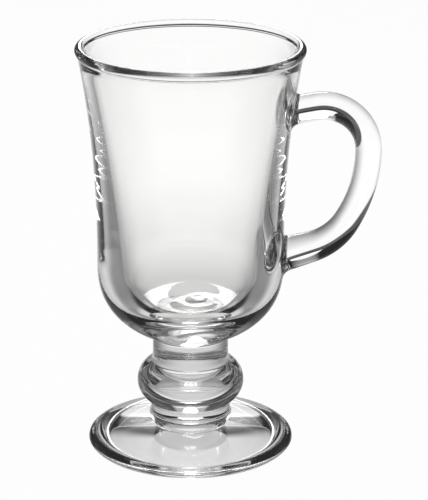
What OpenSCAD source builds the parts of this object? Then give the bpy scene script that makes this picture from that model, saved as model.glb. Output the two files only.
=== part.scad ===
// Irish coffee mug in thick pressed clear glass. A flared bowl with a round bead at
// its lip stands on a ball stem between two collars, on a round foot with a hollow
// underside, and a strap handle is fused to the bowl's side.
// Millimetres. The origin is the centre of the ring that the foot rests on, +Z is up
// and the handle stands out along +X. Outlines are points of radius and height.

/* [Bowl] */
// Height of the bowl, from the upper collar to the top of the lip
bowl_h = 102; // [94:1:110]
// Outer radius of the lip, over its bead
lip_r = 38.5; // [36.5:0.5:41]
// Thickness of the round bead along the lip
bead_t = 3.3; // [2.8:0.1:3.8]
// How far the bead stands out from the wall below it
bead_step = 0.85; // [0.5:0.05:1.2]
// Outer radius of the straight waist of the bowl
waist_r = 31.75; // [29:0.25:34]
// Height of the round belly, from the upper collar to the straight waist
belly_h = 25; // [20:0.5:30]
// Height of the straight waist, above which the wall flares out
waist_h = 6; // [3:0.5:12]
// Thickness of the wall just below the lip
lip_wall = 3.6; // [2.8:0.1:4.4]
// Thickness of the wall at the bottom of the waist
belly_wall = 8; // [6:0.25:9.5]
// Thickness of the glass under the edge of the cavity's floor
floor_t = 12.2; // [10:0.2:14]
// Radius of the floor of the cavity
floor_r = 15; // [13:0.5:17]
// How much deeper the floor is in its middle than at its edge
floor_dish = 1.2; // [0.4:0.1:2]

/* [Stem] */
// Radius of the upper collar, between the ball and the bowl
upper_collar_r = 12.95; // [11.5:0.05:14.5]
// Height of the upper collar
upper_collar_h = 8.9; // [6:0.1:12]
// Greatest radius of the ball
ball_r = 18.3; // [16.5:0.1:20.5]
// Radius of the round side of the ball, seen from the side
ball_side_r = 8.1; // [7.2:0.1:9.4]
// Radius of the lower collar, between the foot and the ball
lower_collar_r = 13.6; // [12:0.1:14.5]
// Height of the lower collar
lower_collar_h = 3.5; // [2:0.1:7]

/* [Foot] */
// Greatest radius of the foot
foot_r = 35.3; // [33:0.1:39]
// Height of the foot where the lower collar stands on it
foot_h = 13.5; // [13:0.25:15.5]
// Radius at which the small flare under the collar ends and the sloping top begins
hub_r = 15.2; // [14.7:0.1:17]
// Height of the top there
hub_h = 12; // [11.4:0.1:12.5]
// Radius at which the sloping top rolls over into the rim
shoulder_r = 31.8; // [30:0.1:33]
// Height of the top there
shoulder_h = 5.95; // [5:0.05:7]
// Height at which the foot is widest
edge_h = 3.6; // [3:0.1:4.4]
// Outer radius of the ring that the foot rests on
rest_r = 28; // [26:0.25:30]
// Width of the ring that the foot rests on
rest_w = 1.4; // [1:0.1:2.5]
// Depth of the hollow under the foot
hollow_h = 5; // [3:0.1:6]
// Radius of the round recess in the middle of the hollow
recess_r = 10.5; // [8:0.5:13]
// Further depth of that recess
recess_h = 0.6; // [0.4:0.1:1]

/* [Handle] */
// Drop from the top of the lip to the middle of the upper root
handle_drop = 23.6; // [20:0.2:28]
// Height of the middle of the lower root above the upper collar
handle_low_h = 27; // [25.5:0.25:31]
// How far the handle reaches from the axis of the bowl
handle_reach = 64.2; // [60:0.2:69]
// Radius of the upper bend, along the middle of the strap
upper_bend_r = 15.3; // [13:0.1:17]
// Radius of the lower bend, along the middle of the strap
lower_bend_r = 20; // [16:0.5:24]
// Thickness of the strap at its thinnest
strap_t = 8.9; // [7.5:0.1:10.5]
// Width of the strap, side to side
strap_w = 12; // [10:0.25:14]
// Thickness of the strap where it reaches the upper root
upper_root_t = 10; // [9:0.25:11.5]
// Thickness of the strap where it reaches the lower root
lower_root_t = 12.2; // [10.5:0.1:13.5]
// Radius of the fillet round each root
root_fillet = 2; // [1:0.25:3]

/* [Hidden] */
$fn = 96;

glass = [0.86, 0.89, 0.9, 0.6];

// How many straight steps stand for each curve
belly_steps = 12;
dish_steps = 6;
flare_steps = 12;
bead_steps = 12;
ball_steps = 16;
foot_steps = 8;
strap_steps = 34;
strap_sides = 28;
fillet_steps = 4;

// Where the bowl's curves head, as shares of the sizes they follow
belly_out_share = 0.48;
belly_rise_share = 0.168;
belly_upright_share = 0.6;
floor_out_share = 0.3;
floor_upright_share = 0.75;
flare_power = 2.2;
thinning_power = 1.7;
lip_inside_angle = 156;

// The directions of the handle, in degrees: rise at the upper root, then how far the
// long side and the lower bend turn it back to the bowl
handle_rise = 11;
side_turn = 31.5;
lower_turn = 41;
// Share of the strap's length over which each end thickens
root_share = 0.45;
// How deep each end of the strap reaches before the bowl's own wall trims it
root_sink = 5;
// Length over which the strap turns square to the wall
root_square = 9;

// Heights of the seams, one above the other
ball_neck_r = ball_r - ball_side_r;
ball_below = sqrt(pow(ball_side_r, 2) - pow(lower_collar_r - ball_neck_r, 2));
ball_above = sqrt(pow(ball_side_r, 2) - pow(upper_collar_r - ball_neck_r, 2));
ball_z = foot_h + lower_collar_h;
ball_mid_z = ball_z + ball_below;
upper_collar_z = ball_mid_z + ball_above;
bowl_z = upper_collar_z + upper_collar_h;
lip_z = bowl_z + bowl_h;

// Heights in the bowl
belly_z = bowl_z + belly_h;
waist_z = belly_z + waist_h;
floor_z = bowl_z + floor_t;
bead_r = bead_t / 2;
bead_mid_r = lip_r - bead_r;
bead_mid_z = lip_z - bead_r;
bead_foot_angle = acos((bead_r - bead_step) / bead_r);
throat_r = lip_r - bead_step;
throat_z = bead_mid_z - bead_r * sin(bead_foot_angle);
lip_inside_z = throat_z - bead_t;

// Radius of the bowl's outer wall at a height above its belly
function outer_r(z) =
    waist_r + (throat_r - waist_r) * pow(max(0, (z - waist_z) / (throat_z - waist_z)), flare_power);

// Thickness of the wall at a height above the belly: it thins towards the lip
function wall_at(z) =
    lip_wall + (belly_wall - lip_wall) * pow(1 - (z - belly_z) / (throat_z - belly_z), thinning_power);

function inner_r(z) = outer_r(z) - wall_at(z);

// Depth of the floor's dish at a share of the floor's radius
function dish_at(share) = floor_dish * (1 - share * share);

// A smooth curve from a to d that leaves a towards b and reaches d from c
function on_curve(a, b, c, d, t) =
    pow(1 - t, 3) * a + 3 * pow(1 - t, 2) * t * b + 3 * (1 - t) * pow(t, 2) * c + pow(t, 3) * d;

function curve(a, b, c, d, steps) = [for (k = [0 : steps]) on_curve(a, b, c, d, k / steps)];

function heights(low, high, steps) = [for (k = [1 : steps]) low + (high - low) * k / steps];

function reversed(list) = [for (k = [len(list) - 1 : -1 : 0]) list[k]];

// The belly and the flared wall, from the upper collar to the foot of the bead
belly_start = [upper_collar_r, bowl_z];
belly_span = waist_r - upper_collar_r;
outside_line = concat(
    curve(
        belly_start,
        belly_start + [belly_span * belly_out_share, belly_h * belly_rise_share],
        [waist_r, belly_z - belly_h * belly_upright_share],
        [waist_r, belly_z],
        belly_steps
    ),
    [for (z = heights(waist_z, throat_z, flare_steps)) [outer_r(z), z]]
);

// The bead, from its foot over the lip to where it runs into the cavity
bead_line = [
    for (k = [1 : bead_steps])
        let (a = -bead_foot_angle + (lip_inside_angle + bead_foot_angle) * k / bead_steps)
        [bead_mid_r + bead_r * cos(a), bead_mid_z + bead_r * sin(a)]
];

// The cavity, from the middle of its dished floor to the bead
cavity_corner_span = inner_r(belly_z) - floor_r;
cavity_corner_h = belly_z - floor_z;
corner_out = cavity_corner_span * floor_out_share;
dish_slope = 2 * floor_dish / floor_r;
cavity_line = concat(
    [for (k = [0 : dish_steps - 1]) [floor_r * k / dish_steps, floor_z - dish_at(k / dish_steps)]],
    curve(
        [floor_r, floor_z],
        [floor_r + corner_out, floor_z + corner_out * dish_slope],
        [inner_r(belly_z), belly_z - cavity_corner_h * floor_upright_share],
        [inner_r(belly_z), belly_z],
        belly_steps
    ),
    [for (z = heights(belly_z, lip_inside_z, flare_steps)) [inner_r(z), z]]
);

module bowl() {
    color(glass)
        rotate_extrude()
            polygon(concat([[0, bowl_z]], outside_line, bead_line, reversed(cavity_line)));
}

module upper_collar() {
    color(glass)
        translate([0, 0, upper_collar_z])
            cylinder(r = upper_collar_r, h = upper_collar_h);
}

// The ball's side is an arc that ends on the two collars
ball_low_angle = -acos((lower_collar_r - ball_neck_r) / ball_side_r);
ball_high_angle = acos((upper_collar_r - ball_neck_r) / ball_side_r);

module ball() {
    side_line = [
        for (k = [0 : ball_steps])
            let (a = ball_low_angle + (ball_high_angle - ball_low_angle) * k / ball_steps)
            [ball_neck_r + ball_side_r * cos(a), ball_mid_z + ball_side_r * sin(a)]
    ];
    color(glass)
        rotate_extrude()
            polygon(concat([[0, ball_z]], side_line, [[0, upper_collar_z]]));
}

module lower_collar() {
    color(glass)
        translate([0, 0, foot_h])
            cylinder(r = lower_collar_r, h = lower_collar_h);
}

// The foot flares out a little from under the collar, slopes down to the shoulder and
// rolls over a round rim to the ring that it rests on. The hollow inside that ring rises
// as a cone to a small recess.
flare_span = hub_r - lower_collar_r;
flare_h = foot_h - hub_h;
slope_span = shoulder_r - hub_r;
slope_h = hub_h - shoulder_h;
edge_span = foot_r - shoulder_r;
edge_drop = shoulder_h - edge_h;
under_span = foot_r - rest_r;
rest_inner_r = rest_r - rest_w;
hollow_w = rest_inner_r - recess_r - recess_h;
recess_z = hollow_h + recess_h;

// Where the foot's curves head, as shares of the spans above
flare_drop_share = 0.6;
flare_out_share = 0.4;
flare_end_share = 0.24;
slope_out_share = 0.32;
slope_start_share = 0.32;
slope_end_share = 0.38;
shoulder_out_share = 0.45;
shoulder_drop_share = 0.24;
edge_up_share = 0.6;
edge_down_share = 0.55;
edge_under_share = 0.45;
hollow_in_share = 0.03;
hollow_up_share = 0.12;
hollow_far_share = 0.66;
hollow_top_share = 0.7;

foot_outline = concat(
    curve(
        [lower_collar_r, foot_h],
        [lower_collar_r, foot_h - flare_drop_share * flare_h],
        [lower_collar_r + flare_out_share * flare_span, hub_h + flare_end_share * flare_h],
        [hub_r, hub_h],
        foot_steps
    ),
    curve(
        [hub_r, hub_h],
        [hub_r + slope_out_share * slope_span, hub_h - slope_start_share * slope_h],
        [shoulder_r - slope_out_share * slope_span, shoulder_h + slope_end_share * slope_h],
        [shoulder_r, shoulder_h],
        foot_steps
    ),
    curve(
        [shoulder_r, shoulder_h],
        [shoulder_r + shoulder_out_share * edge_span, shoulder_h - shoulder_drop_share * edge_drop],
        [foot_r, edge_h + edge_up_share * edge_drop],
        [foot_r, edge_h],
        foot_steps
    ),
    curve(
        [foot_r, edge_h],
        [foot_r, (1 - edge_down_share) * edge_h],
        [rest_r + edge_under_share * under_span, 0],
        [rest_r, 0],
        foot_steps
    ),
    curve(
        [rest_inner_r, 0],
        [rest_inner_r - hollow_in_share * hollow_w, hollow_up_share * hollow_h],
        [rest_inner_r - hollow_far_share * hollow_w, hollow_top_share * hollow_h],
        [recess_r + recess_h, hollow_h],
        foot_steps
    ),
    curve(
        [recess_r + recess_h, hollow_h],
        [recess_r, hollow_h],
        [recess_r, recess_z],
        [recess_r - recess_h, recess_z],
        foot_steps
    ),
    [[0, recess_z], [0, foot_h]]
);

module foot() {
    color(glass)
        rotate_extrude()
            polygon(foot_outline);
}

// The middle line of the strap, in the plane of radius and height. It leaves the upper
// root, turns down through the upper bend, runs along the side and turns back through
// the lower bend to the lower root.
upper_root_z = lip_z - handle_drop;
lower_root_z = bowl_z + handle_low_h;
upper_root = [outer_r(upper_root_z) - root_sink, upper_root_z];
lower_root = [outer_r(lower_root_z) - root_sink, lower_root_z];
side_dir = -90 - side_turn;
home_dir = side_dir - lower_turn;
upper_turn = 90 + handle_rise;

function heading(angle) = [cos(angle), sin(angle)];

// How far a bend of unit radius carries a point that enters it with a heading and
// turns to the right
function bend(angle, turn) =
    [sin(angle) - sin(angle - turn), cos(angle - turn) - cos(angle)];

upper_bend_out = bend(handle_rise, upper_turn) * upper_bend_r;
upper_run = (handle_reach - strap_t / 2 - upper_root.x - upper_bend_out.x) / cos(handle_rise);
upper_bend_start = upper_root + upper_run * heading(handle_rise);
side_start = upper_bend_start + upper_bend_out;

// The side's radius and the last straight run are those that end the strap on its root
side_unit = bend(-90, side_turn);
lower_bend_out = bend(side_dir, lower_turn) * lower_bend_r;
gap_home = lower_root - side_start - lower_bend_out;
home = heading(home_dir);
closing = side_unit.x * home.y - side_unit.y * home.x;
side_r = (gap_home.x * home.y - gap_home.y * home.x) / closing;
lower_run = (side_unit.x * gap_home.y - side_unit.y * gap_home.x) / closing;

lower_bend_start = side_start + side_unit * side_r;
lower_bend_end = lower_bend_start + lower_bend_out;

// Lengths along the middle line at which each stretch ends
deg = PI / 180;
upper_run_end = upper_run;
upper_bend_end = upper_run_end + upper_bend_r * upper_turn * deg;
side_end = upper_bend_end + side_r * side_turn * deg;
lower_bend_stop = side_end + lower_bend_r * lower_turn * deg;
strap_l = lower_bend_stop + lower_run;

function direction_at(s) =
    s < upper_run_end ? handle_rise :
    s < upper_bend_end ? handle_rise - (s - upper_run_end) / upper_bend_r / deg :
    s < side_end ? -90 - (s - upper_bend_end) / side_r / deg :
    s < lower_bend_stop ? side_dir - (s - side_end) / lower_bend_r / deg :
    home_dir;

function middle_at(s) =
    s < upper_run_end ? upper_root + s * heading(handle_rise) :
    s < upper_bend_end ? upper_bend_start
        + upper_bend_r * bend(handle_rise, handle_rise - direction_at(s)) :
    s < side_end ? side_start + side_r * bend(-90, -90 - direction_at(s)) :
    s < lower_bend_stop ? lower_bend_start
        + lower_bend_r * bend(side_dir, side_dir - direction_at(s)) :
    lower_bend_end + (s - lower_bend_stop) * home;

// Lengths at which the middle line comes out of the wall and goes back into it
wall_out = root_sink / cos(handle_rise);
wall_in = strap_l + root_sink / cos(home_dir);

// Distance outside the wall, from the nearer root
function outside_at(s) = min(s - wall_out, wall_in - s);

// The strap thickens towards its roots and ends in a round fillet on the wall
function ramp(share) = pow(max(0, 1 - share / root_share), 2);

function fillet_at(s) =
    let (gone = min(1, max(0, outside_at(s) / root_fillet)))
    root_fillet * (1 - sqrt(1 - pow(1 - gone, 2)));

function half_t_at(s) =
    (strap_t + (upper_root_t - strap_t) * ramp(s / strap_l)
        + (lower_root_t - strap_t) * ramp(1 - s / strap_l)) / 2;

function half_w_at(s) = strap_w / 2 + half_t_at(s) - strap_t / 2;

// Close to a root the strap's sections turn square to the wall
upper_lean = atan((outer_r(upper_root_z + root_fillet) - outer_r(upper_root_z)) / root_fillet);
function square_at(s) = pow(max(0, 1 - max(0, outside_at(s)) / root_square), 2);
function facing_at(s) =
    let (wall_dir = s < strap_l / 2 ? -upper_lean : -180)
    direction_at(s) + (wall_dir - direction_at(s)) * square_at(s);

// Stations along the strap, closer together in the fillets
fillet_stations = [
    for (k = [0 : fillet_steps])
        root_fillet * (1 - cos(90 * k / fillet_steps))
];
free_start = wall_out + root_fillet;
free_end = wall_in - root_fillet;
stations = concat(
    [0],
    [for (d = fillet_stations) wall_out + d],
    [for (k = [1 : strap_steps - 1]) free_start + (free_end - free_start) * k / strap_steps],
    [for (d = reversed(fillet_stations)) wall_in - d],
    [strap_l]
);

function section(s) =
    let (
        mid = middle_at(s),
        up = heading(facing_at(s) + 90) * (half_t_at(s) + fillet_at(s)),
        across = half_w_at(s) + fillet_at(s)
    )
    [
        for (k = [0 : strap_sides - 1])
            let (a = 360 * k / strap_sides)
            [mid.x + up.x * sin(a), across * cos(a), mid.y + up.y * sin(a)]
    ];

module strap() {
    rings = len(stations);
    corners = [for (s = stations) each section(s)];
    start_cap = [for (k = [0 : strap_sides - 1]) k];
    end_cap = [for (k = [strap_sides - 1 : -1 : 0]) (rings - 1) * strap_sides + k];
    sides = [
        for (i = [0 : rings - 2], k = [0 : strap_sides - 1])
            let (a = i * strap_sides + k, b = i * strap_sides + (k + 1) % strap_sides)
            each [[a, a + strap_sides, b + strap_sides], [a, b + strap_sides, b]]
    ];
    polyhedron(points = corners, faces = concat([start_cap, end_cap], sides));
}

module bowl_form() {
    rotate_extrude()
        polygon(concat([[0, bowl_z]], outside_line, [[0, throat_z]]));
}

module handle() {
    color(glass)
        difference() {
            strap();
            bowl_form();
        }
}

bowl();
upper_collar();
ball();
lower_collar();
foot();
handle();
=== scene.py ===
# %% [markdown]
# # A footed glass mug for Irish coffee
#
# The mug is thick pressed glass: a flared bowl, a ball stem between two short collars,
# a round foot and a strap handle. Clear glass has no colour of its own, so nearly all
# of its look is the room seen through it. Two things then matter more than any
# texture: the true thickness of every wall, and what stands round the mug.
#
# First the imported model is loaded. It is the frame that every piece is measured from.

# %% Load the frame
import math

import bpy
import numpy as np
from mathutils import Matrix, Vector


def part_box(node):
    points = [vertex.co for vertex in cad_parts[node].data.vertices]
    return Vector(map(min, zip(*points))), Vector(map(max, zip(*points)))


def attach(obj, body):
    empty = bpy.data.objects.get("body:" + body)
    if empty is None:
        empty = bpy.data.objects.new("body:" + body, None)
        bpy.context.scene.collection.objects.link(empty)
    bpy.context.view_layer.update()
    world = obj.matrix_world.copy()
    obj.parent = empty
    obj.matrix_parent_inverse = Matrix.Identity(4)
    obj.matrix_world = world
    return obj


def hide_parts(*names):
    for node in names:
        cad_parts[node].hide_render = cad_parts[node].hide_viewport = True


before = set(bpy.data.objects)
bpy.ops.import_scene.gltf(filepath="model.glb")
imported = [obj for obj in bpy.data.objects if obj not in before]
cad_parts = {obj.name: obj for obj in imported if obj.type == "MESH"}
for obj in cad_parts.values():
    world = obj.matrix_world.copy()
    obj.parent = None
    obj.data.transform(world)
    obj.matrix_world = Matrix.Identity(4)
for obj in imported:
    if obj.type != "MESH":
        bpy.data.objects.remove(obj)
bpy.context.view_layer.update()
MM = 0.001

# %% [markdown]
# ## The sizes that the frame gives
#
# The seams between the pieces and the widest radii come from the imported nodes, so the
# glass lies where the solids are. What a box can't tell, such as how thick a wall is,
# is a named size below, in millimetres.

# %% Heights of the seams and the widest radii
bowl_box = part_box("bowl")
foot_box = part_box("foot")
ball_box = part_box("ball")
upper_collar_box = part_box("upper_collar")
lower_collar_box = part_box("lower_collar")
handle_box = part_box("handle")

bowl_z = bowl_box[0].z
lip_z = bowl_box[1].z
lip_r = bowl_box[1].y
foot_r = foot_box[1].y
foot_h = foot_box[1].z
ball_z = ball_box[0].z
ball_top_z = ball_box[1].z
ball_r = ball_box[1].y
upper_collar_r = upper_collar_box[1].y
lower_collar_r = lower_collar_box[1].y
handle_reach = handle_box[1].x
print("seams at", [round(z / MM, 2) for z in (foot_h, ball_z, ball_top_z, bowl_z, lip_z)])

# %% [markdown]
# ## Curves for the outlines
#
# Every round piece is turned from an outline of radius and height, as on a lathe. An
# outline is a chain of Bezier curves and arcs, sampled finely: glass bends light by its
# slope, so a facet that paint would hide shows in glass as a kink in the reflection.

# %% Bezier curves, arcs and outlines
def bezier(a, b, c, d, steps):
    """Points from a to d on the cubic that leaves a towards b and reaches d from c."""
    t = np.linspace(0, 1, steps + 1)[:, None]
    a, b, c, d = (np.array(p, float) for p in (a, b, c, d))
    return (1 - t) ** 3 * a + 3 * (1 - t) ** 2 * t * b + 3 * (1 - t) * t**2 * c + t**3 * d


def arc(centre, radius, start, end, steps):
    """Points on an arc between two angles, in degrees."""
    angles = np.radians(np.linspace(start, end, steps + 1))
    return np.array(centre) + radius * np.column_stack([np.cos(angles), np.sin(angles)])


def chain(*stretches):
    """Joins stretches of an outline and drops points that repeat."""
    points = np.vstack(stretches)
    step = np.linalg.norm(np.diff(points, axis=0), axis=1)
    return points[np.r_[True, step > 1e-7]]


def cut(line, reach):
    """The line without its first stretch of a given length."""
    far = np.r_[0, np.cumsum(np.linalg.norm(np.diff(line, axis=0), axis=1))]
    start = [np.interp(reach, far, line[:, i]) for i in (0, 1)]
    return np.vstack([start, line[far > reach + 1e-6]])


def fillet_between(below, above, reach, steps=10):
    """Rounds the corner where one line ends and the next begins, up to a reach."""
    corner = above[0]
    lower, upper = cut(below[::-1], reach)[::-1], cut(above, reach)
    start, end = lower[-1], upper[0]
    leave, arrive = start + 0.6 * (corner - start), end + 0.6 * (corner - end)
    return lower, bezier(start, leave, arrive, end, steps), upper


def soft_seam(below, above, reach, seam_z):
    """A fillet across a seam, shared out between the two pieces that meet there."""
    lower, middle, upper = fillet_between(below, above, reach)
    radius = np.interp(seam_z, middle[:, 1], middle[:, 0])
    under = middle[middle[:, 1] < seam_z - 1e-6]
    over = middle[middle[:, 1] > seam_z + 1e-6]
    at_seam = [(radius, seam_z)]
    return chain(lower, under, at_seam), chain(at_seam, over, upper), radius


# %% [markdown]
# ## The bowl's two walls
#
# The outside flares by a power of the height above the waist. The inside follows it at a
# distance that grows downwards, from 3.6 mm at the lip to 8 mm at the belly: pressed
# glass is thick, and that thickness draws the grey bands down both sides of the bowl.
# Both walls are formulas and not drawn curves, because the eye sees any bump in them.

# %% Sizes of the bowl
bead_t = 3.3 * MM
bead_step = 0.85 * MM
waist_r = 31.75 * MM
belly_h = 25 * MM
waist_h = 6 * MM
lip_wall = 3.6 * MM
belly_wall = 8 * MM
floor_t = 12.2 * MM
floor_r = 15 * MM
floor_dish = 1.2 * MM
flare_power = 2.2
thinning_power = 1.7
lip_inside_angle = 156

belly_z = bowl_z + belly_h
waist_z = belly_z + waist_h
floor_z = bowl_z + floor_t
bead_r = bead_t / 2
bead_mid = (lip_r - bead_r, lip_z - bead_r)
bead_foot_angle = math.degrees(math.acos((bead_r - bead_step) / bead_r))
throat_r = lip_r - bead_step
throat_z = bead_mid[1] - bead_r * math.sin(math.radians(bead_foot_angle))
print("the cavity is", round((lip_z - floor_z + floor_dish) / MM, 1), "mm deep")


# %% The outer and the inner wall
def outer_r(z):
    """Radius of the bowl's outer wall at a height above its belly."""
    share = np.maximum(0, (z - waist_z) / (throat_z - waist_z))
    return waist_r + (throat_r - waist_r) * share**flare_power


def inner_r(z):
    """Radius of the cavity at a height above the belly."""
    share = np.clip((z - belly_z) / (throat_z - belly_z), 0, 1)
    return outer_r(z) - lip_wall - (belly_wall - lip_wall) * (1 - share) ** thinning_power


def wall(radius_at, low, high, steps):
    z = np.linspace(low, high, steps + 1)
    return np.column_stack([radius_at(z), z])


outside = wall(outer_r, belly_z, throat_z, 72)
inside_top_z = throat_z - bead_t
inside = wall(inner_r, belly_z, inside_top_z, 36)
wall_lean = (inner_r(belly_z + MM) - inner_r(belly_z)) / MM
print("the inner wall leans by", round(math.degrees(math.atan(wall_lean)), 1), "degrees at the belly")

# %% [markdown]
# ## The belly, the cavity's floor and the lip
#
# Three curves close the bowl. Below the belly the outside turns in to the collar. In the
# cavity a corner runs into a floor that is dished like a lens. The corner's curve has to
# start with the wall's own lean: with a crease there, however slight, glass shows a pale
# arch right across the bowl. The lip is a bead that was rounded in the flame.

# %% The belly
belly_span = waist_r - upper_collar_r
belly_curve = bezier(
    (upper_collar_r, bowl_z),
    (upper_collar_r + 0.48 * belly_span, bowl_z + 0.168 * belly_h),
    (waist_r, belly_z - 0.6 * belly_h),
    (waist_r, belly_z),
    44,
)
print("the belly turns in over", round(belly_h / MM, 1), "mm")

# %% The cavity's dished floor and its corner
across_floor = np.linspace(0, 1, 25)[:, None]
dish = np.hstack([floor_r * across_floor, floor_z - floor_dish * (1 - across_floor**2)])
dish_slope = 2 * floor_dish / floor_r
corner_out = 0.3 * (inner_r(belly_z) - floor_r)
corner_down = 0.75 * (belly_z - floor_z)
corner = bezier(
    (floor_r, floor_z),
    (floor_r + corner_out, floor_z + corner_out * dish_slope),
    (inner_r(belly_z) - corner_down * wall_lean, belly_z - corner_down),
    (inner_r(belly_z), belly_z),
    26,
)
print("the dish is", round(2 * floor_r / MM, 1), "mm across")


# %% The lip's bead and the whole outline above the belly
def lip_run(top, bottom_z):
    """The smooth run from the bead's inner side down into the cavity's wall."""
    below = (inner_r(bottom_z), bottom_z)
    slope = (inner_r(bottom_z + MM) - inner_r(bottom_z)) / MM
    angle = math.radians(lip_inside_angle)
    lean = np.array([math.sin(angle), -math.cos(angle)])
    reach = (top[1] - bottom_z) / 3
    return bezier(
        top,
        np.array(top) - reach * lean,
        (below[0] + reach * slope, below[1] + reach),
        below,
        8,
    )


bead_fillet = 0.3 * MM
bead = arc(bead_mid, bead_r, -bead_foot_angle, lip_inside_angle, 30)
outside, notch, bead = fillet_between(outside, bead, bead_fillet, 6)
bowl_above_belly = (
    chain(outside, notch, bead),
    lip_run(bead[-1], inside_top_z),
    inside[::-1],
    corner[::-1],
    dish[::-1],
)
print("above the belly the outline has", sum(len(run) for run in bowl_above_belly), "points")

# %% [markdown]
# ## The stem
#
# The ball is an arc turned round the axis. Where it meets a collar the real glass has a
# tiny fillet from the heat of joining, and that fillet catches a thin bright line. A
# bevel on the finished mesh would do, but a fillet in the outline costs nothing and has
# the exact size, so the seams get theirs here.

# %% Outlines of the ball and its collars
ball_side_r = 8.1 * MM
ball_neck_r = ball_r - ball_side_r
ball_mid_z = ball_z + math.sqrt(ball_side_r**2 - (lower_collar_r - ball_neck_r) ** 2)
low_angle = -math.degrees(math.acos((lower_collar_r - ball_neck_r) / ball_side_r))
high_angle = math.degrees(math.acos((upper_collar_r - ball_neck_r) / ball_side_r))
ball_side = arc((ball_neck_r, ball_mid_z), ball_side_r, low_angle, high_angle, 96)
upper_side = wall(lambda z: upper_collar_r + 0 * z, ball_top_z, bowl_z, 24)
lower_side = wall(lambda z: lower_collar_r + 0 * z, foot_h, ball_z, 12)
seam_fillet = 0.9 * MM
lower_side, ball_side, ball_seam_r = soft_seam(lower_side, ball_side, seam_fillet, ball_z)
ball_side, upper_side, ball_top_seam_r = soft_seam(ball_side, upper_side, seam_fillet, ball_top_z)
upper_side, belly_curve, bowl_seam_r = soft_seam(upper_side, belly_curve, seam_fillet, bowl_z)
ball_outline = chain([(0, ball_z)], ball_side, [(0, ball_top_z)])
upper_collar_outline = chain([(0, ball_top_z)], upper_side, [(0, bowl_z)])
lower_collar_outline = chain([(0, foot_h)], lower_side, [(0, ball_z)])
bowl_outline = chain([(0, bowl_z)], belly_curve, *bowl_above_belly)
print("the bowl's outline has", len(bowl_outline), "points")

# %% [markdown]
# ## The foot
#
# The foot slopes down as a cone to a round rim, and it rests on a narrow flat ring. The
# hollow under it is a flat cone too, with a shallow recess in its middle. A hollow can't
# be seen from above as a shape. It shows by what it does: where its slope ends, the glass
# turns from a window on the table into a mirror, and that draws the inner rings.

# %% Sizes of the foot
hub_r = 15.2 * MM
hub_h = 12 * MM
shoulder_r = 31.8 * MM
shoulder_h = 5.95 * MM
edge_h = 3.6 * MM
rest_r = 28 * MM
rest_w = 1.4 * MM
hollow_h = 5 * MM
recess_r = 10.5 * MM
recess_h = 0.6 * MM
flare_span = hub_r - lower_collar_r
flare_h = foot_h - hub_h
slope_span = shoulder_r - hub_r
slope_h = hub_h - shoulder_h
edge_span = foot_r - shoulder_r
edge_drop = shoulder_h - edge_h
under_span = foot_r - rest_r
rest_inner_r = rest_r - rest_w
hollow_w = rest_inner_r - recess_r - recess_h
print("the rest ring is", round(2 * rest_r / MM, 1), "mm across")

# %% The top of the foot, from the collar to the widest point of the rim
flare = bezier(
    (lower_collar_r, foot_h),
    (lower_collar_r, foot_h - 0.6 * flare_h),
    (lower_collar_r + 0.4 * flare_span, hub_h + 0.24 * flare_h),
    (hub_r, hub_h),
    28,
)
cone = bezier(
    (hub_r, hub_h),
    (hub_r + 0.32 * slope_span, hub_h - 0.32 * slope_h),
    (shoulder_r - 0.32 * slope_span, shoulder_h + 0.38 * slope_h),
    (shoulder_r, shoulder_h),
    28,
)
rim = bezier(
    (shoulder_r, shoulder_h),
    (shoulder_r + 0.45 * edge_span, shoulder_h - 0.24 * edge_drop),
    (foot_r, edge_h + 0.6 * edge_drop),
    (foot_r, edge_h),
    24,
)
print("the top of the foot falls by", round((foot_h - edge_h) / MM, 1), "mm")

# %% The underside of the foot, from the rim to the middle of the recess
under_rim = bezier(
    (foot_r, edge_h),
    (foot_r, 0.45 * edge_h),
    (rest_r + 0.45 * under_span, 0),
    (rest_r, 0),
    32,
)
hollow = bezier(
    (rest_inner_r, 0),
    (rest_inner_r - 0.03 * hollow_w, 0.12 * hollow_h),
    (rest_inner_r - 0.66 * hollow_w, 0.7 * hollow_h),
    (recess_r + recess_h, hollow_h),
    32,
)
recess = bezier(
    (recess_r + recess_h, hollow_h),
    (recess_r, hollow_h),
    (recess_r, hollow_h + recess_h),
    (recess_r - recess_h, hollow_h + recess_h),
    12,
)
top_middle, recess_middle = (0, foot_h), (0, hollow_h + recess_h)
foot_outline = chain([top_middle], flare, cone, rim, under_rim, hollow, recess, [recess_middle])
foot_outline = foot_outline[::-1]
print("the foot's outline has", len(foot_outline), "points")

# %% [markdown]
# ## Glass, and the faces inside it
#
# The pieces are fused, so inside the mug there is no surface where one ends and the next
# begins. Each piece is still a closed mesh of its own. Its outer faces get the glass
# and the faces where it is fused to a neighbour get a fully transparent material, which
# light crosses without bending, as it does in one block of glass.
#
# Glass as Cycles draws it throws a nearly black shadow, so for shadow rays the glass
# lets most of the light straight by, and the mug stands in a pale soft shadow.

# %% Materials
def clear_glass():
    material = bpy.data.materials.new("clear_glass")
    material.use_nodes = True
    nodes, links = material.node_tree.nodes, material.node_tree.links
    nodes.clear()
    glass = nodes.new("ShaderNodeBsdfPrincipled")
    glass.inputs["Base Color"].default_value = (0.99, 0.988, 0.985, 1)
    glass.inputs["Roughness"].default_value = 0
    glass.inputs["IOR"].default_value = 1.5
    glass.inputs["Transmission Weight"].default_value = 1
    lets_light_by = nodes.new("ShaderNodeBsdfTransparent")
    lets_light_by.inputs["Color"].default_value = (0.93, 0.94, 0.935, 1)
    ray = nodes.new("ShaderNodeLightPath")
    mix = nodes.new("ShaderNodeMixShader")
    output = nodes.new("ShaderNodeOutputMaterial")
    links.new(ray.outputs["Is Shadow Ray"], mix.inputs["Fac"])
    links.new(glass.outputs["BSDF"], mix.inputs[1])
    links.new(lets_light_by.outputs["BSDF"], mix.inputs[2])
    links.new(mix.outputs["Shader"], output.inputs["Surface"])
    return material


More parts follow.
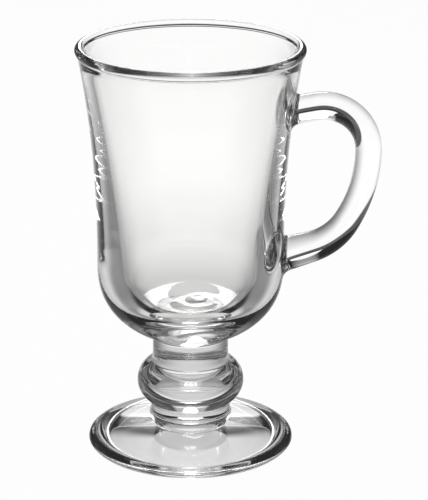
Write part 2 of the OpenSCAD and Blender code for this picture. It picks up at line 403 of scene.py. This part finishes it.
def fused_joint():
    material = bpy.data.materials.new("fused_joint")
    material.use_nodes = True
    nodes, links = material.node_tree.nodes, material.node_tree.links
    nodes.clear()
    through = nodes.new("ShaderNodeBsdfTransparent")
    output = nodes.new("ShaderNodeOutputMaterial")
    links.new(through.outputs["BSDF"], output.inputs["Surface"])
    return material


GLASS, JOINT = clear_glass(), fused_joint()
print("the materials are", GLASS.name, "and", JOINT.name)

# %% [markdown]
# ## Turning an outline into a mesh
#
# The lathe lays one ring of corners for each point of the outline and joins the rings
# with quads. A point on the axis is a single corner with a fan of triangles. Faces that
# lie flat in a seam's plane inside the seam's radius are marked as fused joints.

# %% The lathe
AROUND = 384


class Shape:
    """Corners and faces of one piece, each face with its material slot."""

    def __init__(self):
        self.corners, self.faces, self.slots = [], [], []

    def add(self, point):
        self.corners.append(tuple(float(v) for v in point))
        return len(self.corners) - 1

    def face(self, corners, slot=0):
        self.faces.append(tuple(corners))
        self.slots.append(slot)


def turned(shape, outline, is_joint=lambda low, high: False, skip=lambda i, j: False):
    """Adds the outline turned round the axis, and returns the index of each corner."""
    rings = []
    for radius, height in outline:
        if radius < 1e-7:
            rings.append([shape.add((0, 0, height))] * AROUND)
            continue
        turns = np.arange(AROUND) * 2 * math.pi / AROUND
        x, y = radius * np.cos(turns), radius * np.sin(turns)
        rings.append([shape.add((x[j], y[j], height)) for j in range(AROUND)])
    for i in range(len(outline) - 1):
        slot = 1 if is_joint(outline[i], outline[i + 1]) else 0
        for j in range(AROUND):
            if skip(i, j):
                continue
            k = (j + 1) % AROUND
            ring = [rings[i][j], rings[i][k], rings[i + 1][k], rings[i + 1][j]]
            shape.face(dict.fromkeys(ring), slot)
    return rings


def made(name, shape, replaced):
    """Makes the object, shades it smooth and lets it stand for its CAD node."""
    mesh = bpy.data.meshes.new(name)
    mesh.from_pydata(shape.corners, [], shape.faces)
    mesh.materials.append(GLASS)
    mesh.materials.append(JOINT)
    mesh.polygons.foreach_set("material_index", shape.slots)
    mesh.polygons.foreach_set("use_smooth", [True] * len(shape.faces))
    mesh.validate()
    piece = bpy.data.objects.new(name, mesh)
    bpy.context.scene.collection.objects.link(piece)
    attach(piece, "root")
    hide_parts(replaced)
    print(name, "has", len(shape.faces), "faces")
    return piece


def across_a_seam(*seams):
    """True for a flat stretch of outline that lies in the plane of a seam."""
    return lambda low, high: any(
        abs(low[1] - z) < 1e-6 and abs(high[1] - z) < 1e-6 and max(low[0], high[0]) < r + 1e-6
        for z, r in seams
    )


def turned_piece(name, outline, seams):
    shape = Shape()
    turned(shape, outline, across_a_seam(*seams))
    return made(name + "_glass", shape, name)

# %% [markdown]
# ## The strap of the handle
#
# The strap follows one line in the plane of the axis: a short rise out of the bowl, a
# tight upper bend, a long easy side and a lower bend back to the bowl. Its section is an
# oval that thickens towards the roots, where the hot glass was pushed on to the bowl.

# %% The middle line of the strap
handle_drop = 23.6 * MM
handle_low_h = 27 * MM
upper_bend_r = 15.3 * MM
lower_bend_r = 20 * MM
strap_t = 8.9 * MM
strap_w = 12 * MM
upper_root_t = 10 * MM
lower_root_t = 12.2 * MM
root_fillet = 2 * MM
root_sink = 5 * MM
handle_rise, side_turn, lower_turn = 11, 31.5, 41
root_share = 0.45

wall_line = chain(belly_curve, outside)


def wall_r(z):
    """Radius of the bowl's outer wall at any height, belly included."""
    return np.interp(z, wall_line[:, 1], wall_line[:, 0])


def heading(angle):
    return np.array([math.cos(math.radians(angle)), math.sin(math.radians(angle))])


def bend(angle, turn):
    """How far a bend of radius one carries a point that turns right from a heading."""
    before, after = heading(angle), heading(angle - turn)
    return np.array([before[1] - after[1], after[0] - before[0]])


upper_root = np.array([wall_r(lip_z - handle_drop) - root_sink, lip_z - handle_drop])
lower_root = np.array([wall_r(bowl_z + handle_low_h) - root_sink, bowl_z + handle_low_h])
upper_turn = 90 + handle_rise
side_dir = -90 - side_turn
home_dir = side_dir - lower_turn
upper_out = upper_bend_r * bend(handle_rise, upper_turn)
lower_out = lower_bend_r * bend(side_dir, lower_turn)
upper_run = handle_reach - strap_t / 2 - upper_root[0] - upper_out[0]
upper_run /= math.cos(math.radians(handle_rise))
bend_start = upper_root + upper_run * heading(handle_rise)
side_start = bend_start + upper_out
to_close = np.column_stack([bend(-90, side_turn), heading(home_dir)])
side_r, lower_run = np.linalg.solve(to_close, lower_root - side_start - lower_out)
print("side radius", round(side_r / MM, 1), "mm, last run", round(lower_run / MM, 1), "mm")


def strap_line(step=0.1 * MM):
    """Points, headings and lengths along the whole middle line."""
    points, angles = [upper_root], [handle_rise]

    def go(length, radius, turn):
        start, angle = points[-1], angles[-1]
        steps = max(2, int(round(length / step)))
        for k in range(1, steps + 1):
            part = k / steps
            if turn:
                points.append(start + radius * bend(angle, turn * part))
            else:
                points.append(start + length * part * heading(angle))
            angles.append(angle - turn * part)

    go(upper_run, 0, 0)
    go(upper_bend_r * math.radians(upper_turn), upper_bend_r, upper_turn)
    go(side_r * math.radians(side_turn), side_r, side_turn)
    go(lower_bend_r * math.radians(lower_turn), lower_bend_r, lower_turn)
    go(lower_run, 0, 0)
    points, angles = np.array(points), np.array(angles)
    lengths = np.r_[0, np.cumsum(np.linalg.norm(np.diff(points, axis=0), axis=1))]
    return points, angles, lengths


line_points, line_angles, line_lengths = strap_line()
strap_l = line_lengths[-1]
off_wall = line_points[:, 0] - wall_r(line_points[:, 1])
middle = len(off_wall) // 2
wall_out = np.interp(0, off_wall[:middle], line_lengths[:middle])
wall_in = np.interp(0, off_wall[middle:][::-1], line_lengths[middle:][::-1])
print("the strap is", round((wall_in - wall_out) / MM, 1), "mm long outside the wall")

# %% [markdown]
# ## Welding the strap to the bowl
#
# Where the strap is fused on, the bowl's wall has no surface. The lathe leaves a window
# in the wall at each root, and a patch fills it: rings of corners run from the window's
# border to an oval, and inside the oval the faces are fused joints. The strap's first
# ring lies on that same oval, and a round fillet brings its side down on to the wall.

# %% The border of a window in the lathe's grid
WINDOW_TURNS, WINDOW_ROWS = 20, 11


def window_border(up):
    """Grid steps round a window, from its right edge upwards (or downwards)."""
    t, r = WINDOW_TURNS, WINDOW_ROWS
    steps = [(t, i) for i in range(0, r)]
    steps += [(i, r) for i in range(t, -t, -1)]
    steps += [(-t, i) for i in range(r, -r, -1)]
    steps += [(i, -r) for i in range(-t, t)]
    steps += [(t, i) for i in range(-r, 0)]
    return [(turn, row * up) for turn, row in steps]


print("a window's border has", len(window_border(1)), "corners")


# %% Sections of the strap
def at(s):
    """Middle point and heading of the strap at a length along it."""
    point = [np.interp(s, line_lengths, line_points[:, i]) for i in (0, 1)]
    return np.array(point), np.interp(s, line_lengths, line_angles)


def ramp(share):
    return max(0, 1 - share / root_share) ** 2


def half_t(s):
    upper = (upper_root_t - strap_t) * ramp(s / strap_l)
    lower = (lower_root_t - strap_t) * ramp(1 - s / strap_l)
    return (strap_t + upper + lower) / 2


def half_w(s):
    return strap_w / 2 + half_t(s) - strap_t / 2


def fillet(off):
    gone = min(1, max(0, off / root_fillet))
    return root_fillet * (1 - math.sqrt(1 - (1 - gone) ** 2))


def oval(s, off, up):
    """Centre height and half sizes of the strap cut parallel to the wall."""
    (_, z), angle = at(s)
    tilt = abs(math.cos(math.radians(angle)))
    return z, half_w(s) + fillet(off), (half_t(s) / tilt + fillet(off)) * up


def on_wall(y, z, off=0.0):
    """The point off the wall's surface by a distance, at a height and side place."""
    radius = wall_r(z) + off
    return np.array([math.sqrt(radius**2 - y**2), y, z])


# %% The two roots
class Root:
    """One end of the strap: its oval on the wall and the window round it."""

    def __init__(self, s, up):
        self.up, self.s = up, s
        self.z, self.half_y, self.half_z = oval(s, 0, up)
        rows = bowl_outline[: len(wall_line) + 1, 1]
        self.row = int(np.argmin(np.abs(rows - self.z)))
        self.border = [(turn, self.row + row) for turn, row in window_border(up)]
        self.border_places = []
        for turn, row in self.border:
            self.border_places.append((turn * 2 * math.pi / AROUND, bowl_outline[row, 1]))
        self.angles = []
        for turn, z in self.border_places:
            y = wall_r(z) * math.sin(turn)
            self.angles.append(math.atan2((z - self.z) / self.half_z, y / self.half_y))
        self.angles = np.unwrap(self.angles)

    def holds(self, row, turn):
        """True for the lathe's faces inside the window."""
        turn = (turn + AROUND // 2) % AROUND - AROUND // 2
        low = self.row - WINDOW_ROWS
        return low <= row < low + 2 * WINDOW_ROWS and -WINDOW_TURNS <= turn < WINDOW_TURNS

    def oval_places(self, size=1.0):
        """Turn and height of the oval's points, or of a smaller oval inside it."""
        places = []
        for a in self.angles:
            z = self.z + size * self.half_z * math.sin(a)
            y = size * self.half_y * math.cos(a)
            places.append((math.asin(y / wall_r(z)), z))
        return places


upper_weld = Root(wall_out, 1)
lower_weld = Root(wall_in, -1)
print("the roots are", [round(2 * r.half_y / MM, 1) for r in (upper_weld, lower_weld)], "mm wide")

# %% [markdown]
# ## The bowl, window patches and pressing marks
#
# The bowl is turned first, with the two windows left open. A boolean could cut them, but
# it leaves long thin triangles, and glass shows those as scratches. The patches follow
# the wall's formula instead, so no edge of them can be seen.
#
# The cavity's floor isn't quite smooth: the press leaves faint waves in it, less than a
# millimetre deep, and they break up the bright lens that lies there.

# %% The bowl with its two windows filled
PATCH_RINGS, JOINT_RINGS = 6, 5
mark_depth, mark_length = 0.7 * MM, 14 * MM
mark_x, mark_y, mark_squash = 3 * MM, -1 * MM, 0.7


def place(turn, z):
    radius = wall_r(z)
    return (radius * math.cos(turn), radius * math.sin(turn), z)


def band(shape, inner, outer, flip, slot):
    """Quads between two rings of corners with the same count."""
    for k in range(len(inner)):
        m = (k + 1) % len(inner)
        corners = [inner[k], outer[k], outer[m], inner[m]]
        shape.face(corners[::-1] if flip else corners, slot)


def cap(shape, ring, centre, rings_between, flip):
    """A disc of fused joint faces that fills a ring."""
    inner = ring
    for places in rings_between:
        outer, inner = inner, [shape.add(p) for p in places]
        band(shape, inner, outer, flip, 1)
    middle_corner = shape.add(centre)
    for k in range(len(inner)):
        m = (k + 1) % len(inner)
        corners = [middle_corner, inner[k], inner[m]]
        shape.face(corners[::-1] if flip else corners, 1)


def disc_places(root):
    sizes = [1 - k / JOINT_RINGS for k in range(1, JOINT_RINGS)]
    return [[place(*p) for p in root.oval_places(size)] for size in sizes]


def fill_window(shape, rings, root):
    flip = root.up < 0
    outer = [rings[row][turn % AROUND] for turn, row in root.border]
    border, rim = np.array(root.border_places), np.array(root.oval_places())
    for k in range(1, PATCH_RINGS + 1):
        part = k / PATCH_RINGS
        inner = [shape.add(place(*p)) for p in border * (1 - part) + rim * part]
        band(shape, inner, outer, flip, 0)
        outer = inner
    cap(shape, outer, place(0, root.z), disc_places(root), flip)


def pressing_mark(x, y):
    """Height of the faint waves that the press leaves in the cavity's floor."""
    fades_out = max(0, 1 - (x * x + y * y) / floor_r**2) ** 2
    far = math.hypot(x - mark_x, mark_squash * (y - mark_y))
    return -mark_depth * fades_out * (1 - math.cos(2 * math.pi * far / mark_length)) / 2


def bowl_piece(seam):
    shape = Shape()
    welds = (upper_weld, lower_weld)
    in_a_window = lambda row, turn: any(weld.holds(row, turn) for weld in welds)
    rings = turned(shape, bowl_outline, across_a_seam(seam), in_a_window)
    for weld in welds:
        fill_window(shape, rings, weld)
    for ring in rings[-len(dish):]:
        for corner_index in set(ring):
            x, y, z = shape.corners[corner_index]
            shape.corners[corner_index] = (x, y, z + pressing_mark(x, y))
    return made("bowl_glass", shape, "bowl")


# %% [markdown]
# ## The strap
#
# The strap is a sweep: one oval section after another along the middle line. Blender can
# sweep a curve along a curve, but both ends here have to land on a round wall. So each
# section near a root is turned, little by little, until it lies parallel to that wall.

# %% The strap between its roots
STRAP_STEPS, FILLET_STEPS = 130, 10
square_start, square_end = 2.5 * MM, 10 * MM


def section(s, off, up, angles):
    """Corners of the strap's section, turned parallel to the wall close to a root."""
    (x, z), angle = at(s)
    lift = heading(angle + 90) * half_t(s)
    across, along = np.cos(angles), np.sin(angles)
    free = np.column_stack([x + lift[0] * along, half_w(s) * across, z + lift[1] * along])
    share = min(1, max(0, (square_end - off) / (square_end - square_start)))
    if share == 0:
        return free
    share = share * share * (3 - 2 * share)
    mid_z, half_y, half_z = oval(s, off, up)
    places = zip(half_y * across, mid_z + half_z * along)
    welded = np.array([on_wall(y, z, off) for y, z in places])
    return share * welded + (1 - share) * free


def strap_stations():
    rounds = root_fillet * (1 - np.cos(np.linspace(0, math.pi / 2, FILLET_STEPS + 1)))
    near_upper = np.interp(rounds, off_wall[:middle], line_lengths[:middle])
    near_lower = np.interp(rounds, off_wall[middle:][::-1], line_lengths[middle:][::-1])
    between = np.linspace(near_upper[-1], near_lower[-1], STRAP_STEPS + 1)[1:-1]
    return np.r_[near_upper, between, near_lower[::-1]]


def handle_piece():
    shape = Shape()
    rings = []
    for s in strap_stations():
        share = (s - wall_out) / (wall_in - wall_out)
        up = 1 if share < 0.5 else -1
        angles = upper_weld.angles * (1 - share) + lower_weld.angles * share
        off = max(0, float(np.interp(s, line_lengths, off_wall)))
        rings.append([shape.add(p) for p in section(s, off, up, angles)])
    for ring, after in zip(rings, rings[1:]):
        for k in range(len(ring)):
            m = (k + 1) % len(ring)
            shape.face([ring[k], ring[m], after[m], after[k]])
    cap(shape, rings[0], place(0, upper_weld.z), disc_places(upper_weld), True)
    cap(shape, rings[-1], place(0, lower_weld.z), disc_places(lower_weld), False)
    return made("handle_glass", shape, "handle")


# %% [markdown]
# ## The six pieces
#
# Each seam is a flat disc at one height and of one radius, and both pieces that meet
# there have that disc. So the stem is turned piece by piece, with its seams named.

# %% Make the six pieces
foot_seam = (foot_h, lower_collar_r)
ball_seam = (ball_z, ball_seam_r)
ball_top_seam = (ball_top_z, ball_top_seam_r)
bowl_seam = (bowl_z, bowl_seam_r)

bowl_piece(bowl_seam)
turned_piece("upper_collar", upper_collar_outline, [ball_top_seam, bowl_seam])
turned_piece("ball", ball_outline, [ball_seam, ball_top_seam])
turned_piece("lower_collar", lower_collar_outline, [foot_seam, ball_seam])
turned_piece("foot", foot_outline, [foot_seam])
handle_piece()

# %% [markdown]
# ## The studio
#
# Glass is photographed against light, not in it. A white sheet runs under the mug, and a
# lit panel stands behind it, with a low strip of light at the horizon and one small
# bright window. To the sides the sheet gets darker and the room is nearly black, and
# every edge of the glass bends a little of that dark into view: this is what draws the
# mug. The camera itself sees plain white.
#
# Real panels could be built for this, but each would need its own place in the scene and
# would show in the camera. It is simpler to give the world a brightness that depends on
# the direction, and to paint the sheet's light and shade into its glow by place. A few
# helpers keep such formulas short.

# %% Small helpers for shader nodes
class Wiring:
    """Adds nodes to one node tree and links their values together."""

    def __init__(self, tree):
        self.tree = tree
        tree.nodes.clear()

    def node(self, kind, **settings):
        made_node = self.tree.nodes.new(kind)
        for name, value in settings.items():
            setattr(made_node, name, value)
        return made_node

    def feed(self, socket, value):
        if isinstance(value, (int, float, tuple)):
            socket.default_value = value
        else:
            self.tree.links.new(value, socket)

    def math(self, operation, *values):
        made_node = self.node("ShaderNodeMath", operation=operation)
        for socket, value in zip(made_node.inputs, values):
            self.feed(socket, value)
        return made_node.outputs[0]

    def product(self, first, *others):
        for value in others:
            first = self.math("MULTIPLY", first, value)
        return first

    def total(self, first, *others):
        for value in others:
            first = self.math("ADD", first, value)
        return first

    def fade(self, value, start, end, at_start=1.0, at_end=0.0):
        """Goes smoothly from one level to another as a value goes from start to end."""
        made_node = self.node("ShaderNodeMapRange", interpolation_type="SMOOTHSTEP")
        for socket, number in zip(made_node.inputs, (value, start, end, at_start, at_end)):
            self.feed(socket, number)
        return made_node.outputs[0]

    def either(self, share, where_one, where_zero):
        """One value where the share is one, the other where it is zero."""
        mix = self.node("ShaderNodeMix", data_type="FLOAT")
        for number, value in ((0, share), (2, where_zero), (3, where_one)):
            self.feed(mix.inputs[number], value)
        return mix.outputs[0]

    def from_axis(self, x, y):
        """Distance of a place from the mug's axis."""
        return self.math("SQRT", self.total(self.product(x, x), self.product(y, y)))

    def aside(self, x, y):
        """Degrees between a direction and straight behind, the same on both sides."""
        return self.math("DEGREES", self.math("ARCTAN2", self.math("ABSOLUTE", x), y))

    def as_seen(self, by_camera, by_glass, by_the_rest):
        """One brightness for the camera, one that glass shows, a plain one for the rest."""
        ray = self.node("ShaderNodeLightPath").outputs
        glassy = self.math("MAXIMUM", ray["Is Glossy Ray"], ray["Is Transmission Ray"])
        indirect = self.either(glassy, by_glass, by_the_rest)
        return self.either(ray["Is Camera Ray"], by_camera, indirect)


# %% [markdown]
# ## The room
#
# The room's brightness is a formula of two angles: the height above the horizon, and how
# far aside of straight behind the mug a direction lies. The panel leans outwards, with a
# brighter core. The window in it has a dome's shape: it is the white lens in the cavity's
# floor and the bright spots on the belly and the ball. A glass face mirrors only about 4
# per cent of the light, so the window is eight times as bright as white, and it is small.

# %% The room round the sheet
def panel_light(w, height, aside):
    past_edge = w.math("SUBTRACT", aside, w.math("MULTIPLY", height, 0.45))
    lit_width = w.fade(past_edge, 3.0, 7.0)
    lit_height = w.product(w.fade(height, 7.0, 10.0, 0.0, 0.5), w.fade(height, 60.0, 66.0))
    core_width = w.fade(aside, 9.0, 20.0)
    core_height = w.product(w.fade(height, 21.0, 24.0, 0.0, 0.65), w.fade(height, 42.0, 50.0))
    return w.total(w.product(lit_width, lit_height), w.product(core_width, core_height))


def strip_light(w, height, aside):
    low = w.product(w.fade(height, 0.5, 2.0, 0.0, 1.4), w.fade(height, 13.0, 15.0))
    return w.product(w.fade(aside, 8.0, 9.5), low)


def window_light(w, height, aside):
    above = w.math("MAXIMUM", w.math("SUBTRACT", height, 14.0), 0.0)
    up, out = w.math("DIVIDE", above, 12.0), w.math("DIVIDE", aside, 6.5)
    return w.product(w.fade(w.from_axis(up, out), 0.88, 1.0), w.fade(height, 11.0, 13.0, 0.0, 8.0))


def paint_room():
    """The world: white for the camera; for the glass a dark room with a lit panel behind."""
    world = bpy.data.worlds.new("studio")
    bpy.context.scene.world = world
    world.use_nodes = True
    w = Wiring(world.node_tree)
    direction = w.node("ShaderNodeSeparateXYZ")
    w.feed(direction.inputs[0], w.node("ShaderNodeTexCoord").outputs["Generated"])
    x, y, z = direction.outputs
    height, aside = w.math("DEGREES", w.math("ARCSINE", z)), w.aside(x, y)
    overhead = w.fade(height, 64.0, 72.0, 0.03, 0.35)
    lights = [light(w, height, aside) for light in (panel_light, strip_light, window_light)]
    background = w.node("ShaderNodeBackground")
    w.feed(background.inputs["Strength"], w.as_seen(1.0, w.total(overhead, *lights), 0.35))
    w.feed(w.node("ShaderNodeOutputWorld").inputs["Surface"], background.outputs[0])
    print("the room has", len(world.node_tree.nodes), "nodes")


paint_room()

# %% [markdown]
# ## The sheet
#
# The sheet is a plain white plane for the camera, with a little matt reflection so that
# it keeps the soft shadow. For the glass its glow is a painted pool of light, brightest
# straight behind, with painted shade at both sides. Under the foot, since a glass foot
# is a lens that shows what lies right under it, the sheet has painted shade for the
# foot's shadow: a dimmer disc under the recess and darker fields behind and beside it.
# One thin bright ring there is a painted highlight that the flat rest ring shows.

# %% How bright the sheet is for the glass
def painted_light_and_shade_outside_foot(w, out, aside):
    """Painted light and shade on the sheet outside the foot, by the distance from the axis and the
    angle aside.
    """
    # Painted pool of light: brightest straight behind, fading to the sides, with a painted bright
    # patch in front.
    distance = w.product(w.fade(out, 0.08, 0.24, 0.66, 1.04), w.fade(out, 0.6, 0.72, 1.0, 0.1))
    spread_near = w.product(w.fade(aside, 3.0, 30.0, 1.0, 0.45), w.fade(aside, 70.0, 88.0))
    spread_far = w.fade(aside, 16.0, 50.0, 1.0, 0.28)
    behind = w.product(distance, w.either(w.fade(out, 0.05, 0.1), spread_near, spread_far))
    front_depth = w.product(w.fade(out, 0.16, 0.19, 0.0, 1.0), w.fade(out, 0.3, 0.4))
    front = w.product(w.fade(aside, 105.0, 145.0, 0.0, 0.72), front_depth)
    # Painted shade beside and in front of the foot, and a painted glint near the foot's edge.
    painted_shade_depth = w.product(w.fade(out, 0.032, 0.038, 0.0, 1.0), w.fade(out, 0.13, 0.18))
    painted_shade_side = w.product(w.fade(aside, 76.0, 90.0, 0.0, 1.0), painted_shade_depth)
    glint_width = w.product(w.fade(aside, 32.0, 50.0, 0.0, 0.42), w.fade(aside, 75.0, 87.0))
    glint = w.product(glint_width, w.fade(out, 0.045, 0.06))
    return w.total(w.either(painted_shade_side, 0.0, w.total(behind, front)), glint)


def painted_shade_and_highlight_under_foot(w, out, aside):
    """Painted shade and a painted bright ring on the sheet where the foot covers it."""
    # Painted shade for the foot's shadow: darker fields behind and beside it, and a dimmer disc under
    # the recess.
    further = w.fade(out, 20 * MM, 23 * MM, 0.5, 1.0)
    behind = w.product(w.fade(aside, 15.0, 62.0, 0.6, 0.06), further)
    field = w.total(behind, w.fade(aside, 66.0, 100.0, 0.0, 0.7))
    under_recess = w.fade(out, recess_r + 1.3 * MM, recess_r + 2.1 * MM)
    # A painted highlight: the thin bright ring under the flat rest ring.
    ring_inside = w.fade(out, rest_inner_r - 0.2 * MM, rest_inner_r + 0.1 * MM, 0.0, 1.2)
    ring_outside = w.fade(out, rest_r - 0.6 * MM, rest_r - 0.3 * MM)
    ring = w.product(ring_inside, ring_outside)
    return w.math("MAXIMUM", w.either(under_recess, 0.55, field), ring)


def sheet_light(w, x, y):
    out, aside = w.from_axis(x, y), w.aside(x, y)
    covered = w.fade(out, 34.5 * MM, 36.5 * MM)
    return w.either(covered, painted_shade_and_highlight_under_foot(w, out, aside), painted_light_and_shade_outside_foot(w, out, aside))


# %% The white sheet under the mug
def sheet_material():
    material = bpy.data.materials.new("white_sheet")
    material.use_nodes = True
    w = Wiring(material.node_tree)
    place = w.node("ShaderNodeSeparateXYZ")
    w.feed(place.inputs[0], w.node("ShaderNodeNewGeometry").outputs["Position"])
    x, y, _ = place.outputs
    glow = w.node("ShaderNodeEmission")
    # For the glass the glow carries the sheet's painted light and painted shade.
    w.feed(glow.inputs["Strength"], w.as_seen(0.96, sheet_light(w, x, y), 0.35))
    matt = w.node("ShaderNodeBsdfDiffuse")
    w.feed(matt.inputs["Color"], (0.04, 0.04, 0.04, 1))
    both = w.node("ShaderNodeAddShader")
    w.feed(both.inputs[0], glow.outputs[0])
    w.feed(both.inputs[1], matt.outputs[0])
    w.feed(w.node("ShaderNodeOutputMaterial").inputs["Surface"], both.outputs[0])
    return material


def lay_sheet(half=3.0, gap=0.2 * MM):
    """A flat sheet just below the mug, so that glass and sheet never share a face."""
    corners = [(-half, -half, 0), (half, -half, 0), (half, half, 0), (-half, half, 0)]
    mesh = bpy.data.meshes.new("sheet")
    mesh.from_pydata(corners, [], [(0, 1, 2, 3)])
    mesh.materials.append(sheet_material())
    sheet = bpy.data.objects.new("sheet", mesh)
    sheet.location.z = -gap
    bpy.context.scene.collection.objects.link(sheet)
    print("the sheet is", 2 * half, "m wide")


lay_sheet()

# %% [markdown]
# ## The lamp
#
# World and sheet do almost all the lighting of the glass. One wide lamp above the left
# shoulder lights whatever is matt and throws the soft shadow. The glass doesn't mirror
# it, because the photographed mug shows no such square highlight.

# %% The soft lamp above
def hang_lamp(place, aim, size, brightness):
    """A square lamp that lights matt surfaces and throws the soft shadow on the sheet."""
    lamp = bpy.data.lights.new("soft_lamp", "AREA")
    lamp.shape, lamp.size = "SQUARE", size
    lamp.energy = brightness * math.pi * size**2
    box = bpy.data.objects.new("soft_lamp", lamp)
    bpy.context.scene.collection.objects.link(box)
    box.location = place
    box.rotation_euler = (Vector(aim) - Vector(place)).to_track_quat("-Z", "Y").to_euler()
    box.visible_camera = box.visible_glossy = box.visible_transmission = False
    print("the lamp gives", round(lamp.energy, 2), "W")


hang_lamp(place=(-0.25, 0.1, 0.7), aim=(0, 0, 0.05), size=0.6, brightness=2.2)

# %% [markdown]
# ## The camera
#
# The photograph looks down at the mug by about 19 degrees, from some 0.85 m away with a
# long lens: the ellipses of the lip and the foot tell both. The picture isn't centred on
# the mug's axis, and a small shift of the lens moves it without turning the camera.

# %% Camera
camera_back, camera_up, camera_tilt = 0.7897, 0.3403, 18.825
picture_width, picture_height, sensor_width = 428, 500, 36
focal_pixels, axis_pixel = 2453.5, 190.5
camera_data = bpy.data.cameras.new("camera")
camera = bpy.data.objects.new("camera", camera_data)
bpy.context.scene.collection.objects.link(camera)
bpy.context.scene.camera = camera
camera.location = (0, -camera_back, camera_up)
camera.rotation_euler = (math.radians(90 - camera_tilt), 0, 0)
camera_data.lens = focal_pixels / picture_height * sensor_width
camera_data.shift_x = (picture_width / 2 - axis_pixel) / picture_height
camera_data.clip_end = 10
print("the lens is", round(camera_data.lens, 1), "mm long")

# %% [markdown]
# ## Light paths
#
# A ray crosses many walls of this mug before it reaches the sheet, so it is allowed more
# bounces than usual: cut short, it would come back black.

# %% Bounces and the view transform
bpy.context.scene.view_settings.view_transform = "Standard"
bounces = bpy.context.scene.cycles
bounces.max_bounces = bounces.transmission_bounces = bounces.glossy_bounces = 32
bounces.transparent_max_bounces = 64
print("a ray may bounce", bounces.max_bounces, "times")
